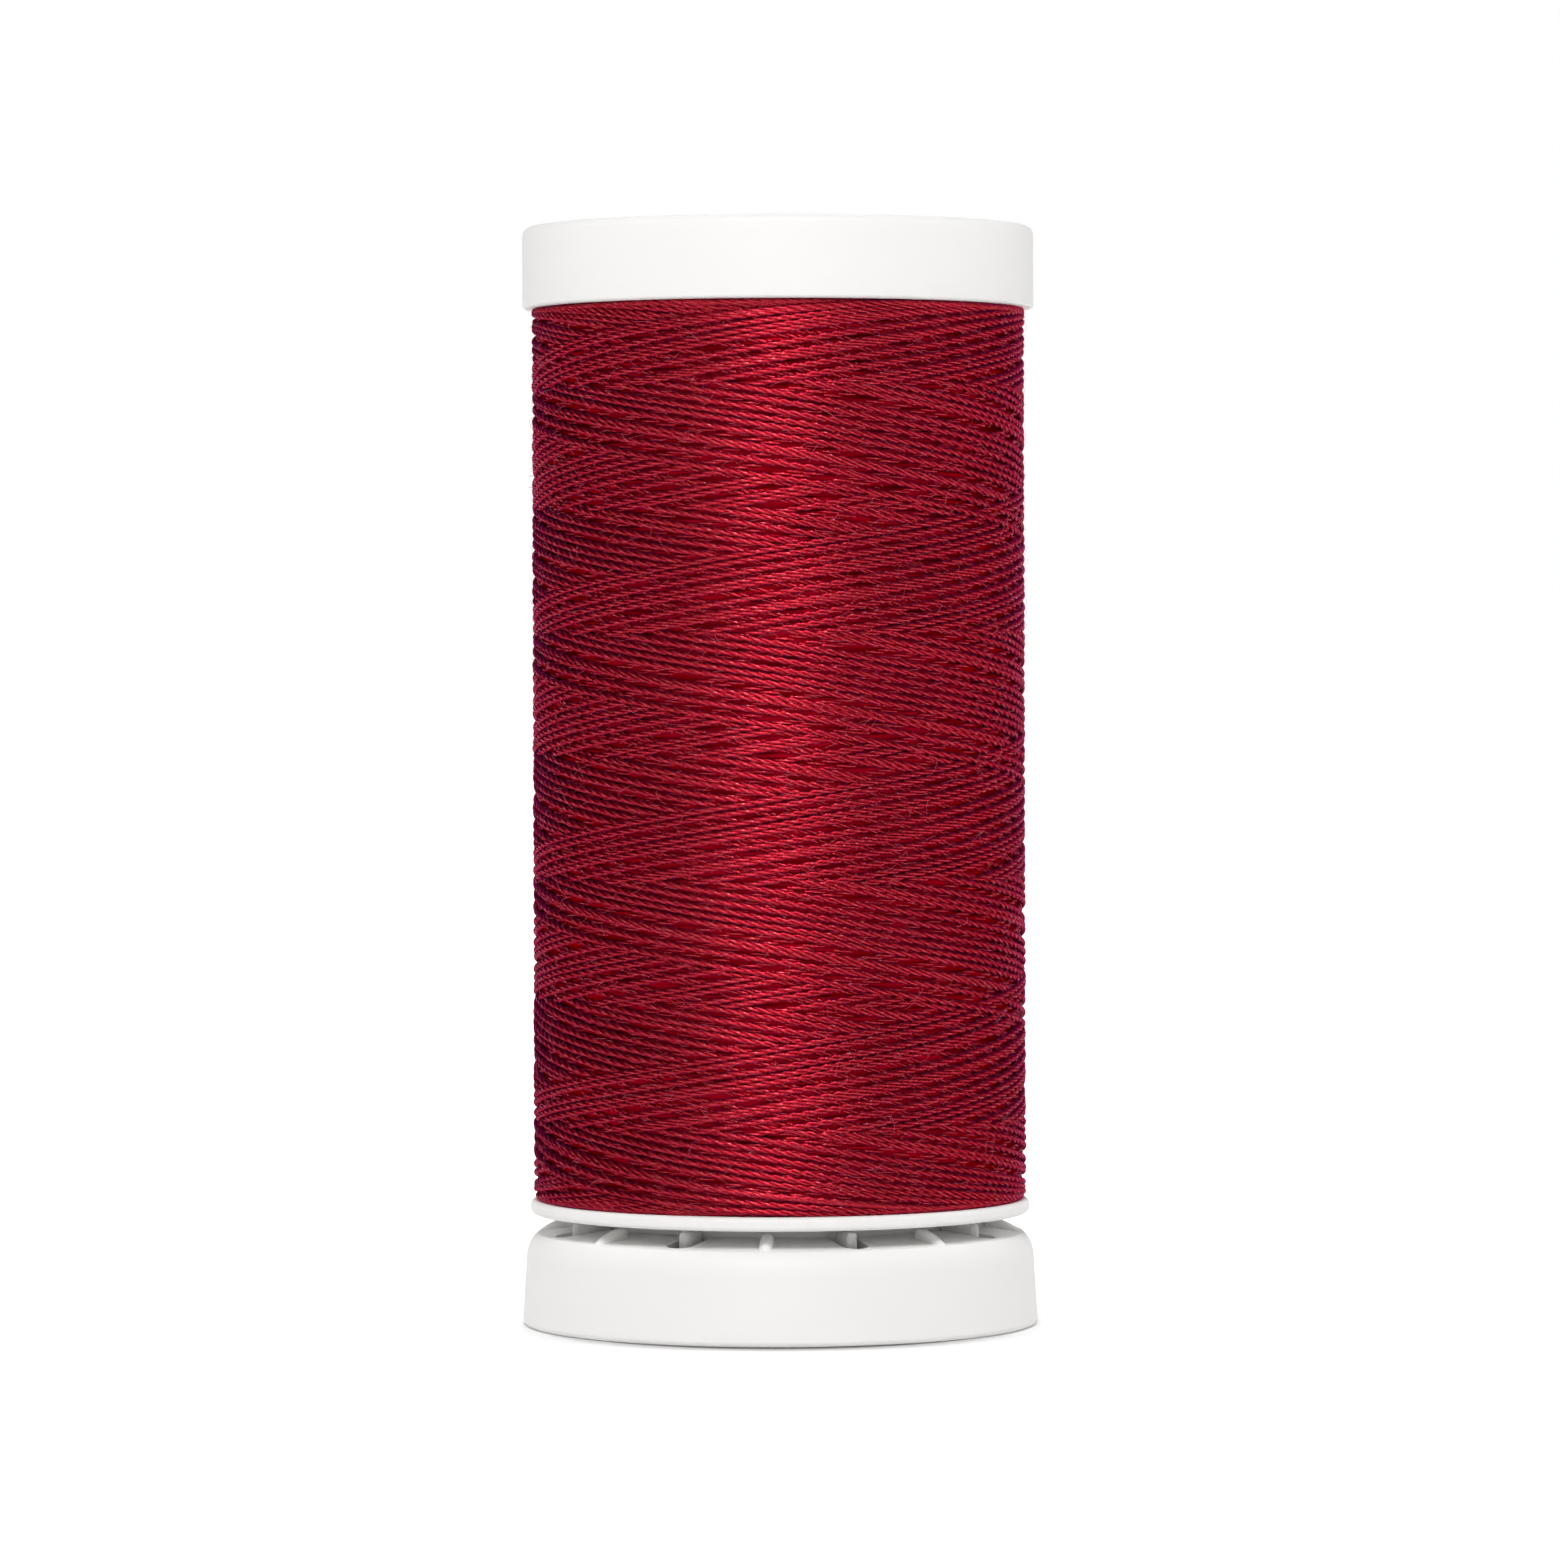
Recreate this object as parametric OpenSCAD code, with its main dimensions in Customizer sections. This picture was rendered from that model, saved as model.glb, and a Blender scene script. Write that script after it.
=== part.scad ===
// Spool of sewing thread: a two-flanged winding core, a pressed-on top cap, a cross-wound thread
// package and a foot whose ribbed deck slides open and shut to trap the end of the thread.
// The origin is the centre of the face that the spool stands on, with +Z up along its axis.

/* [Thread winding] */
// Radius over the outermost strands
winding_r = 15.3; // [14.9:0.1:15.3]
// Length of the winding between the two flanges
winding_len = 55.3; // [40:0.1:80]
// Thickness of one strand of thread
strand_d = 0.42; // [0.3:0.02:0.5]
// Clear space between strands where they cross
strand_gap = 0.42; // [0.41:0.01:0.5]
// Whole turns in one run of the thread from flange to flange, before the last two thirds of a turn
whole_turns = 3; // [2, 3]
// Gap between the package and the plastic that it fills
lay_gap = 0.04; // [0.02:0.01:0.1]

/* [Core] */
// Outer radius of the tube that the thread is wound on
tube_r = 11; // [10.5:0.1:11.5]
// Wall of the tube
tube_wall = 1.2; // [1:0.1:1.5]
// Radius of the lower flange
flange_r = 15.5; // [15.4:0.1:15.8]
// Thickness of both flanges
flange_t = 0.85; // [0.7:0.05:1.1]
// Rounding of the lower flange's rim
flange_round = 0.25; // [0.1:0.05:0.3]
// Length of the tube below the lower flange
tube_tail = 2.4; // [1.8:0.1:2.8]
// Bevel at the ends of the tube
tube_bevel = 0.3; // [0.1:0.1:0.4]

/* [Top cap] */
// Radius of the cap
cap_r = 15.9; // [15.9:0.1:16.5]
// Height of the cap from its lower edge to its top
cap_h = 5.05; // [4:0.05:6]
// Thickness of the cap's top plate
cap_plate = 1.2; // [1:0.1:1.5]
// Wall of the cap's skirt
cap_wall = 1.3; // [1:0.1:1.4]
// Rounding of the cap's upper edge
cap_round = 0.5; // [0.3:0.1:0.8]
// Rounding of the cap's lower edge
cap_hem = 0.15; // [0.05:0.05:0.3]
// Depth to which the cap's plug reaches down the tube from the plate
plug_len = 6; // [4:0.5:10]
// Wall of the plug
plug_wall = 1; // [0.8:0.1:1.4]

/* [Foot] */
// Radius of the foot where it meets the floor
foot_r = 16; // [15.9:0.1:16.3]
// Lean of the foot's side, in degrees
foot_lean = 3.4; // [2:0.1:4]
// Height at which the leaning side turns into the shoulder
shoulder_z = 4.35; // [4:0.05:5]
// Radius of the shoulder's curve
shoulder_r = 1.9; // [1.7:0.1:2.1]
// Angle at which the shoulder ends in the lip, in degrees
lip_angle = 47; // [45:1:50]
// Wall of the foot
foot_wall = 1.2; // [1:0.1:1.4]
// Thickness of the foot's bottom plate
foot_plate = 1.1; // [0.9:0.1:1.4]
// Rounding of the foot's lower edge
foot_round = 0.4; // [0.1:0.1:0.5]

/* [Thread lock] */
// Number of ribs on the deck, and of the posts that stand in the openings between them
rib_count = 8; // [6:1:9]
// Thickness of a rib or a post
rib_t = 0.84; // [0.6:0.02:1]
// Radius of the curve of a rib's crest
crest_r = 3.4; // [3.2:0.05:3.6]
// Depth of a rib's crest below the line of the lip
rib_inset = 0.06; // [0.04:0.01:0.1]
// Step between a rib's or post's rounded edge and its thinner web
web_step = 0.05; // [0.03:0.01:0.1]
// Radius at which a rib's crest ends over the deck
rib_end_r = 12.7; // [12.3:0.1:13]
// Angle of the first rib from the front, in degrees
rib_turn = -3.5; // [-10:0.25:10]
// Slope at which the deck rises from the lip to the tube, in degrees
deck_slope = 8; // [6:0.5:9]
// Thickness of the deck
deck_t = 1; // [0.8:0.1:1.2]
// Radius over a post's rounded nose
post_r = 13.5; // [13.2:0.1:13.8]
// Bevel round the top of a post's nose
post_bevel = 0.2; // [0.1:0.05:0.3]
// Width of the openings in the deck
opening_w = 2.9; // [2.4:0.1:3.4]
// Radius at which the openings end
opening_r = 14.7; // [14.4:0.1:14.8]
// Slot left between the ribs' crests and the lower flange when the lock is shut
lock_gap = 0.43; // [0.3:0.01:0.6]
// Distance that the foot slides out to open the lock
lock_travel = 1.8; // [1:0.1:2.2]
// Height of the sleeve above the foot's plate
sleeve_len = 14; // [12:0.5:20]
// Wall of the sleeve
sleeve_wall = 1; // [0.8:0.1:1.2]
// Number of snap fingers cut into the sleeve
finger_count = 4; // [3:1:6]
// Width of the slots between the fingers
slot_w = 1.2; // [0.8:0.1:2]
// Length of the slots
slot_len = 7; // [5:0.5:8]
// Height of the snap bead along the sleeve
bead_h = 0.8; // [0.6:0.1:1]
// Distance that the snap bead stands proud of the sleeve
bead_out = 0.25; // [0.15:0.05:0.3]
// Distance from the top of the sleeve to the bead
bead_drop = 0.8; // [0.4:0.1:2]

/* [Pin hole] */
// Radius of the hole for the machine's spool pin
pin_hole_r = 3.5; // [3:0.1:4.5]
// Wall of the collars round the pin hole
collar_wall = 1.5; // [1:0.1:2]
// Height of the lower collar above the foot's underside
foot_collar = 4; // [3:0.5:6]
// Bevel at the mouths of the pin hole
mouth_bevel = 0.4; // [0.2:0.1:0.6]
// Depth of the shallow recesses in the top and in the underside
recess = 0.35; // [0.2:0.05:0.5]
// Width of the rim that the foot stands on, and of the cap's upper rim
rim_w = 2.2; // [1.5:0.1:3]

/* [Fits] */
// Gap between the sliding sleeve and the tube
slide_gap = 0.06; // [0.04:0.01:0.09]
// Gap between the tube's lower end and the posts' shelves that it lands on
seat_gap = 0.05; // [0.03:0.01:0.1]
// Gap between the cap and the core that it is pressed on
press_gap = 0.03; // [0.02:0.01:0.05]
// Gap between the posts and the tube that stands inside them
post_gap = 0.15; // [0.1:0.05:0.3]
// Gap between the deck's inner edge and the tube
deck_gap = 0.3; // [0.2:0.05:0.4]

/* [Hidden] */
plastic = "#f4f2ef";
thread_red = "#a81428";
// depth to which one solid runs into another that it is fused with
root = 0.3;
// how far a cutting tool passes what it cuts
over = 1;
// straight pieces in a drawn curve
curve_steps = 8;
$fn = 96;

// The foot's outline: a lean side, a shoulder about shoulder_c, a lip, then the deck that slopes up to the
// tube. The ribs' crests arch over the deck about crest_c.
side_run = (shoulder_z - foot_round) * tan(foot_lean);
shoulder_c = [foot_r - side_run - shoulder_r * cos(foot_lean), shoulder_z - shoulder_r * sin(foot_lean)];
lip_at = shoulder_c + shoulder_r * [cos(lip_angle), sin(lip_angle)];
crest_c = lip_at - (crest_r + rib_inset) * [cos(lip_angle), sin(lip_angle)];
crest_z = crest_c[1] + crest_r;
foot_plate_top = recess + foot_plate;
foot_in_r = foot_r - side_run - foot_wall;
lip_round = 0.3;
lip_c = lip_at - lip_round * [cos(lip_angle), sin(lip_angle)];
deck_in_r = tube_r + deck_gap;
function deck_z(r) = lip_c[1] + lip_round / cos(deck_slope) + (lip_c[0] - r) * tan(deck_slope);

// Heights up the spool.
flange_z = crest_z + lock_gap;
winding_z = flange_z + flange_t;
cap_z = winding_z + winding_len;
top_z = cap_z + cap_h;
tail_z = flange_z - tube_tail;
tube_top = top_z - cap_plate;

// Radii of what slides or presses into the tube.
bore_r = tube_r - tube_wall;
sleeve_r = bore_r - slide_gap;
sleeve_in_r = sleeve_r - sleeve_wall;
plug_r = bore_r - press_gap;
shelf_z = tail_z - seat_gap;
sleeve_top = foot_plate_top + sleeve_len;
bead_top = sleeve_top - bead_drop;
bead_z = bead_top - bead_h;
collar_r = pin_hole_r + collar_wall;
cap_in_r = cap_r - cap_wall;
upper_flange_r = cap_in_r - press_gap;

// The run of the outer strands: up on an inner circle, down on an outer one, three times over.
runs = 6;
ring_step = 15;
ring_sides = 6;
run_turns = whole_turns + 2 / 3;
run_rings = run_turns * 360 / ring_step;
outer_lay_r = winding_r - strand_d / 2;
inner_lay_r = outer_lay_r - strand_d - strand_gap;
package_r = inner_lay_r * cos(ring_step / 2) - strand_d / 2 - lay_gap;
end_bend_r = 1.2 * strand_d;
lay_low = winding_z + strand_d;
lay_high = cap_z - strand_d;
lay_pitch = (lay_high - lay_low) / run_turns;
// rings over which the thread changes circle at the end of a run, each side of the turn
change_rings = 2;
package_round = 0.5;

// Points on an arc about c, from angle a0 to a1.
function arc(c, r, a0, a1, steps = curve_steps) =
    [for (i = [0 : steps]) let (a = a0 + (a1 - a0) * i / steps) c + r * [cos(a), sin(a)]];

function smooth(t) = let (s = min(1, max(0, t))) s * s * (3 - 2 * s);

// The thread as it lies: ring number i counts steps of ring_step along the whole route.
function run_of(i) = min(runs - 1, floor(i / run_rings));
function lay_z(i) =
    let (run = run_of(i), along = i / run_rings - run)
    lay_low + (lay_high - lay_low) * (run % 2 == 0 ? along : 1 - along);
function lay_r(i) =
    let (turn = round(i / run_rings), share = smooth((i - turn * run_rings) / (2 * change_rings) + 0.5),
         inward = turn == 0 ? 1 : turn == runs ? 0 : turn % 2 == 0 ? share : 1 - share)
    outer_lay_r + (inner_lay_r - outer_lay_r) * inward;
function lay_point(i, r) = [r * cos(i * ring_step), r * sin(i * ring_step), lay_z(i)];

// Ring at which a run has climbed enough for the thread's end to bend down square to the flange.
end_climb = (strand_d + end_bend_r - (lay_low - winding_z)) / lay_pitch * 360 / ring_step;
first_ring = ceil(end_climb);
last_ring = runs * run_rings - first_ring;
last_lay = [for (i = [first_ring : last_ring]) lay_point(i, lay_r(i))];

// The bend from a strand at point p down to the flange, entered against the direction along.
function end_bend(p, along) =
    [for (a = [90, 60, 30]) p - along * end_bend_r * sin(a) - [0, 0, end_bend_r * (1 - cos(a))]];
function end_foot(bend) = [bend[0][0], bend[0][1], winding_z + lay_gap];
function heading(i) = [-sin(i * ring_step), cos(i * ring_step), 0];
start_bend = end_bend(last_lay[0], heading(first_ring));
finish_bend = end_bend(last_lay[len(last_lay) - 1], -heading(last_ring));
route = concat([end_foot(start_bend)], start_bend, last_lay,
               [for (i = [2 : -1 : 0]) finish_bend[i]], [end_foot(finish_bend)]);

// The least distance between strands that aren't neighbours along the thread, less their thickness.
apart = 12;
near = [for (i = [0 : len(route) - apart - 1])
            min([for (j = [i + apart : len(route) - 1]) norm(route[i] - route[j])])];
echo(least_strand_gap = min(near) - strand_d, loops = runs * run_turns);

// One ring of a tube about point i of a route, with a corner facing out from the axis.
function unit(v) = v / norm(v);
function ring(path, i, r, sides) =
    let (a = path[max(0, i - 1)], b = path[min(len(path) - 1, i + 1)], along = unit(b - a),
         out = unit(cross(cross(along, [path[i][0], path[i][1], 0]), along)), side = cross(along, out))
    [for (k = [0 : sides - 1]) path[i] + r * (cos(360 * k / sides) * out + sin(360 * k / sides) * side)];

// A closed tube of triangles along a route.
module tube(path, d, sides) {
    last = len(path) - 1;
    points = [for (i = [0 : last]) each ring(path, i, d / 2, sides)];
    walls = [for (i = [0 : last - 1], k = [0 : sides - 1])
                 let (n = (k + 1) % sides, a = i * sides + k, b = i * sides + n)
                 each [[a, a + sides, b + sides], [a, b + sides, b]]];
    start = [for (k = [1 : sides - 2]) [0, k, k + 1]];
    finish = [for (k = [1 : sides - 2]) [last * sides, last * sides + k + 1, last * sides + k]];
    polyhedron(points, concat(walls, start, finish));
}

// The tube with its two flanges. The groove inside it lets the foot's snap bead travel and stops it.
module spool_core() {
    groove_r = bore_r + bead_out;
    color(plastic) rotate_extrude() polygon(concat(
        [[bore_r + tube_bevel, tail_z], [tube_r - tube_bevel, tail_z], [tube_r, tail_z + tube_bevel],
         [tube_r, flange_z]],
        arc([flange_r - flange_round, flange_z + flange_round], flange_round, -90, 0),
        arc([flange_r - flange_round, winding_z - flange_round], flange_round, 0, 90),
        [[tube_r, winding_z], [tube_r, cap_z], [upper_flange_r, cap_z], [upper_flange_r, cap_z + flange_t],
         [tube_r, cap_z + flange_t], [tube_r, tube_top], [bore_r + tube_bevel, tube_top],
         [bore_r, tube_top - tube_bevel], [bore_r, bead_top + seat_gap], [groove_r, bead_top + seat_gap],
         [groove_r, bead_z - lock_travel - seat_gap], [bore_r, bead_z - lock_travel - seat_gap],
         [bore_r, tail_z + tube_bevel]]));
}

// A flat-topped shell whose skirt closes over the upper flange and whose plug fills the tube's mouth.
module top_cap() {
    inner_rim_r = cap_r - rim_w;
    color(plastic) rotate_extrude() polygon(concat(
        [[cap_in_r, cap_z]],
        arc([cap_r - cap_hem, cap_z + cap_hem], cap_hem, -90, 0),
        arc([cap_r - cap_round, top_z - cap_round], cap_round, 0, 90),
        [[inner_rim_r, top_z], [inner_rim_r - recess, top_z - recess],
         [collar_r + recess, top_z - recess], [collar_r, top_z],
         [pin_hole_r + mouth_bevel, top_z], [pin_hole_r, top_z - mouth_bevel],
         [pin_hole_r, cap_z], [collar_r, cap_z], [collar_r, tube_top],
         [plug_r - plug_wall, tube_top], [plug_r - plug_wall, tube_top - plug_len],
         [plug_r - tube_bevel, tube_top - plug_len], [plug_r, tube_top - plug_len + tube_bevel],
         [plug_r, tube_top], [cap_in_r, tube_top]]));
}

// The foot's shell: leaning side, deck, bottom plate, collar for the pin and the sleeve with its snap bead.
module foot_shell() {
    bead_r = sleeve_r + bead_out - slide_gap;
    rotate_extrude() polygon(concat(
        [[pin_hole_r + mouth_bevel, recess], [foot_r - foot_round - rim_w, recess],
         [foot_r - foot_round - rim_w + recess, 0]],
        arc([foot_r - foot_round, foot_round], foot_round, -90, 0),
        arc(shoulder_c, shoulder_r, foot_lean, lip_angle),
        arc(lip_c, lip_round, lip_angle, 90 - deck_slope),
        [[deck_in_r, deck_z(deck_in_r)], [deck_in_r, deck_z(deck_in_r) - deck_t],
         [foot_in_r, deck_z(foot_in_r) - deck_t], [foot_in_r, foot_plate_top], [sleeve_r, foot_plate_top],
         [sleeve_r, bead_z], [bead_r, bead_z + bead_h / 3], [bead_r, bead_top - bead_h / 3],
         [sleeve_r, bead_top], [sleeve_r - tube_bevel, sleeve_top], [sleeve_in_r, sleeve_top],
         [sleeve_in_r, foot_plate_top], [collar_r, foot_plate_top], [collar_r, foot_collar],
         [pin_hole_r, foot_collar], [pin_hole_r, recess + mouth_bevel]]));
}

// One opening along +X through the deck, round at its outer end and open towards the tube.
module opening() {
    low = deck_z(opening_r) - deck_t - over;
    translate([0, 0, low]) linear_extrude(crest_z - low) polygon(concat(
        [[deck_in_r - over, -opening_w / 2]],
        arc([opening_r - opening_w / 2, 0], opening_w / 2, -90, 90),
        [[deck_in_r - over, opening_w / 2]]));
}

// One rib along +X: a web on the deck under a round bead that arches inwards from the lip.
module rib() {
    bend_r = crest_r - rib_t / 2;
    lip_end = lip_angle - 12;
    tube_end = 90 + asin((crest_c[0] - rib_end_r) / bend_r);
    bead_line = arc(crest_c, bend_r, lip_end, tube_end);
    start = bead_line[0];
    finish = bead_line[curve_steps] + [web_step, 0];
    rotate([90, 0, 0]) linear_extrude(rib_t - 2 * web_step, center = true) polygon(concat(
        [[finish[0], deck_z(finish[0]) - root], [start[0], deck_z(start[0]) - 2 * root]],
        [for (i = [0 : curve_steps - 1]) bead_line[i]], [finish]));
    translate([crest_c[0], 0, crest_c[1]]) rotate([90, 0, 0]) rotate([0, 0, lip_end])
        rotate_extrude(angle = tube_end - lip_end) translate([bend_r, 0]) circle(d = rib_t);
}

// One post along +X: a web from the sleeve through an opening to a round nose, with a shelf for the tube.
module post() {
    clear_r = tube_r + post_gap;
    nose_at = post_r - rib_t / 2;
    web_top = crest_z - 2 * web_step;
    rotate([90, 0, 0]) linear_extrude(rib_t - 2 * web_step, center = true) polygon(
        [[sleeve_r - root, foot_plate_top - root], [nose_at, foot_plate_top - root],
         [nose_at, web_top], [clear_r, web_top], [clear_r, shelf_z], [sleeve_r - root, shelf_z]]);
    translate([nose_at, 0, 0]) rotate_extrude() polygon(
        [[0, foot_plate_top - root], [rib_t / 2, foot_plate_top - root], [rib_t / 2, crest_z - post_bevel],
         [rib_t / 2 - post_bevel, crest_z], [0, crest_z]]);
}

// The foot stands on its rim. Its sleeve slides in the tube, and the tube lands on the posts' shelves.
module lock_foot() {
    spacing = 360 / rib_count;
    color(plastic) difference() {
        union() {
            difference() {
                foot_shell();
                for (k = [0 : rib_count - 1]) rotate([0, 0, rib_turn - 90 + spacing * (k + 0.5)]) opening();
            }
            for (k = [0 : rib_count - 1]) rotate([0, 0, rib_turn - 90 + spacing * k]) rib();
            for (k = [0 : rib_count - 1]) rotate([0, 0, rib_turn - 90 + spacing * (k + 0.5)]) post();
        }
        for (k = [0 : finger_count - 1]) rotate([0, 0, 360 * (k + 0.5) / finger_count])
            translate([sleeve_in_r - over, -slot_w / 2, sleeve_top - slot_len])
                cube([sleeve_wall + bead_out + 2 * over, slot_w, slot_len + over]);
    }
}

// The layers under the outer strands, as one body of thread that fills the tube from flange to flange.
module thread_package() {
    low = winding_z + lay_gap;
    high = cap_z - lay_gap;
    color(thread_red) rotate_extrude() polygon(concat(
        [[tube_r + lay_gap, low]],
        arc([package_r - package_round, low + package_round], package_round, -90, 0),
        arc([package_r - package_round, high - package_round], package_round, 0, 90),
        [[tube_r + lay_gap, high]]));
}

// The last strands to be wound: one unbroken thread that runs up and down the package and crosses itself.
module thread_outer_turns() {
    color(thread_red) tube(route, strand_d, ring_sides);
}

spool_core();
top_cap();
lock_foot();
thread_package();
thread_outer_turns();
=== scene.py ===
"""Spool of sewing thread: moulded pieces, cross-wound thread, finishes, floor, lights, camera."""
import sys

import logging
import math
from dataclasses import dataclass, field
from enum import Enum
from typing import Any

import bmesh
import bpy
import numpy as np
from mathutils import Matrix, Vector

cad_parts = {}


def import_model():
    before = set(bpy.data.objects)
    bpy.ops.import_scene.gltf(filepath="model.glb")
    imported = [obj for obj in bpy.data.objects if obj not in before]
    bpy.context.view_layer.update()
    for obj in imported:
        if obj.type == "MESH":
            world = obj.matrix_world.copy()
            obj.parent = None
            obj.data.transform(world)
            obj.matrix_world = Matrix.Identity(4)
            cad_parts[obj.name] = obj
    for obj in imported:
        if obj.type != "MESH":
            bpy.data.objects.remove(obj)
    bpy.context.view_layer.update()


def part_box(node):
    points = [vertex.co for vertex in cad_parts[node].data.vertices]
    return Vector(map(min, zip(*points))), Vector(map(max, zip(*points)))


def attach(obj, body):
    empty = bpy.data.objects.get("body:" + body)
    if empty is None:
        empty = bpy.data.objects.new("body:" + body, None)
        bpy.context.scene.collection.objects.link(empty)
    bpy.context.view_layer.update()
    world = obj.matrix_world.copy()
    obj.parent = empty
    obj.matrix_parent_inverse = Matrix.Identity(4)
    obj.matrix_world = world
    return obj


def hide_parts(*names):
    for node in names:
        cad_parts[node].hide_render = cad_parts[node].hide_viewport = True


log = logging.getLogger("spool")

MM = 0.001
IMAGE_W, IMAGE_H = 1560, 1561
# Fillets of moulded edges and corners, in millimetres.
FINE, ARRIS, STEP, INNER = 0.1, 0.12, 0.15, 0.3
# Metres within which points are one.
WELD, FINE_WELD = 1e-6, 1e-7
# Plies of a strand, and corners of its section, of which each ply's first one is a valley.
PLIES, PLY_CORNERS = 3, 3
CORNERS = PLIES * PLY_CORNERS

Colour = tuple[float, float, float, float]
Triple = tuple[float, float, float]
Stops = tuple[tuple[float, float], ...]
Form = bmesh.types.BMesh
Piece = bpy.types.Object
Material = bpy.types.Material


class Slot(Enum):
    """The record's material slots."""

    PLASTIC = "white_plastic"
    THREAD = "red_thread"


class Body(Enum):
    """The bodies that the lock's slide joins."""

    FOOT = "foot"
    SPOOL = "spool"


class Join(Enum):
    """What one form does to another."""

    ADD = "UNION"
    CUT = "DIFFERENCE"


# -------- shader maths


class Value:
    """A number in a node tree, with arithmetic written as Python."""

    def __init__(self, tree: "Nodes", socket: bpy.types.NodeSocket) -> None:
        """Wraps an output socket of one of the tree's nodes."""
        self.tree = tree
        self.socket = socket

    def _maths(self, operation: str, *values: Any) -> "Value":
        """The result of a Math node on numbers or Values."""
        return self.tree.add("ShaderNodeMath", {"operation": operation}, dict(enumerate(values)))

    def __add__(self, other: Any) -> "Value":
        """self + other."""
        return self._maths("ADD", self, other)

    __radd__ = __add__

    def __mul__(self, other: Any) -> "Value":
        """self * other."""
        return self._maths("MULTIPLY", self, other)

    __rmul__ = __mul__

    def __sub__(self, other: Any) -> "Value":
        """self - other."""
        return self._maths("SUBTRACT", self, other)

    def __rsub__(self, other: Any) -> "Value":
        """other - self."""
        return self._maths("SUBTRACT", other, self)

    def __abs__(self) -> "Value":
        """The size of self."""
        return self._maths("ABSOLUTE", self)

    def sine(self) -> "Value":
        """The sine of self, in radians."""
        return self._maths("SINE", self)

    def clamped(self) -> "Value":
        """self, held between 0 and 1."""
        return self.tree.add("ShaderNodeClamp", {}, {"Value": self})


class Nodes:
    """A node tree and the nodes that are added to it."""

    def __init__(self, tree: bpy.types.NodeTree) -> None:
        """Wraps a tree."""
        self.nodes = tree.nodes
        self.links = tree.links

    def add(self, kind: str, settings: dict[str, Any], inputs: dict[Any, Any],
            output: Any = 0) -> Value:
        """Adds a node.

        Args:
            kind: the node's type.
            settings: what is set on it before its sockets; a list of stops fills a ramp.
            inputs: numbers, colours, sockets or Values by socket name or place.
            output: the output that is wanted, by name or place.

        Returns:
            That output.
        """
        node = self.nodes.new(kind)
        for key, setting in settings.items():
            if key == "stops":
                self._fill_ramp(node.color_ramp, setting)
            else:
                setattr(node, key, setting)
        for key, given in inputs.items():
            self.feed(node.inputs[key], given)
        return Value(self, node.outputs[output])

    def _fill_ramp(self, ramp: bpy.types.ColorRamp, stops: list[tuple[float, float]]) -> None:
        """Sets a ramp's stops.

        Args:
            ramp: the ramp.
            stops: places and grey levels.
        """
        ramp.interpolation = "EASE"
        while len(ramp.elements) < len(stops):
            ramp.elements.new(0.5)
        for element, (place, level) in zip(ramp.elements, stops):
            element.position = place
            element.color = (level, level, level, 1.0)

    def feed(self, socket: bpy.types.NodeSocket, given: Any) -> None:
        """Sets or links a socket.

        Args:
            socket: the input socket.
            given: a number, colour, output socket or Value.
        """
        if isinstance(given, Value):
            given = given.socket
        if isinstance(given, bpy.types.NodeSocket):
            self.links.new(given, socket)
        else:
            socket.default_value = given


class Shader(Nodes):
    """A material with a Principled shader and the piece's own coordinates."""

    def __init__(self, name: str) -> None:
        """Makes the material.

        Args:
            name: the material's name.
        """
        self.material = bpy.data.materials.new(name)
        self.material.use_nodes = True
        super().__init__(self.material.node_tree)
        self.surface = self.nodes["Principled BSDF"]
        self.position = self.add("ShaderNodeTexCoord", {}, {}, "Object")

    def noise(self, scale: float, detail: float, vector: Any = None) -> Value:
        """Noise between 0 and 1.

        Args:
            scale: cells per metre, or per unit of the vector.
            detail: octaves.
            vector: where it is read; the piece's own place if left out.

        Returns:
            The noise.
        """
        where = self.position if vector is None else vector
        inputs = {"Vector": where, "Scale": scale, "Detail": detail}
        return self.add("ShaderNodeTexNoise", {}, inputs, "Fac")

    def vector(self, operation: str, *vectors: Any, output: str = "Vector") -> Value:
        """What a Vector Math node works out from vectors."""
        settings = {"operation": operation}
        return self.add("ShaderNodeVectorMath", settings, dict(enumerate(vectors)), output)

    def blend(self, share: Any, first: Any, second: Any) -> Value:
        """A mix of two colours: first where share is 0, second where it is 1."""
        inputs = {"Factor": share, 6: first, 7: second}
        return self.add("ShaderNodeMix", {"data_type": "RGBA"}, inputs, 2)

    def bump(self, height: Any, distance: float, strength: float = 1.0, under: Any = None) -> Value:
        """A bumped normal.

        Args:
            height: the height map, from 0 to 1.
            distance: metres that a height of 1 stands for.
            strength: share of the bump that is used.
            under: a normal that this one is laid over.

        Returns:
            The normal.
        """
        inputs = {"Height": height, "Distance": distance, "Strength": strength}
        if under is not None:
            inputs["Normal"] = under
        return self.add("ShaderNodeBump", {}, inputs)

    def set(self, **inputs: Any) -> None:
        """Sets or links the shader's sockets, whose names are written with underscores."""
        for name, given in inputs.items():
            self.feed(self.surface.inputs[name.replace("_", " ")], given)


# -------- finishes
# Cells are cells of noise in a metre, and depths are in millimetres.


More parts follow.
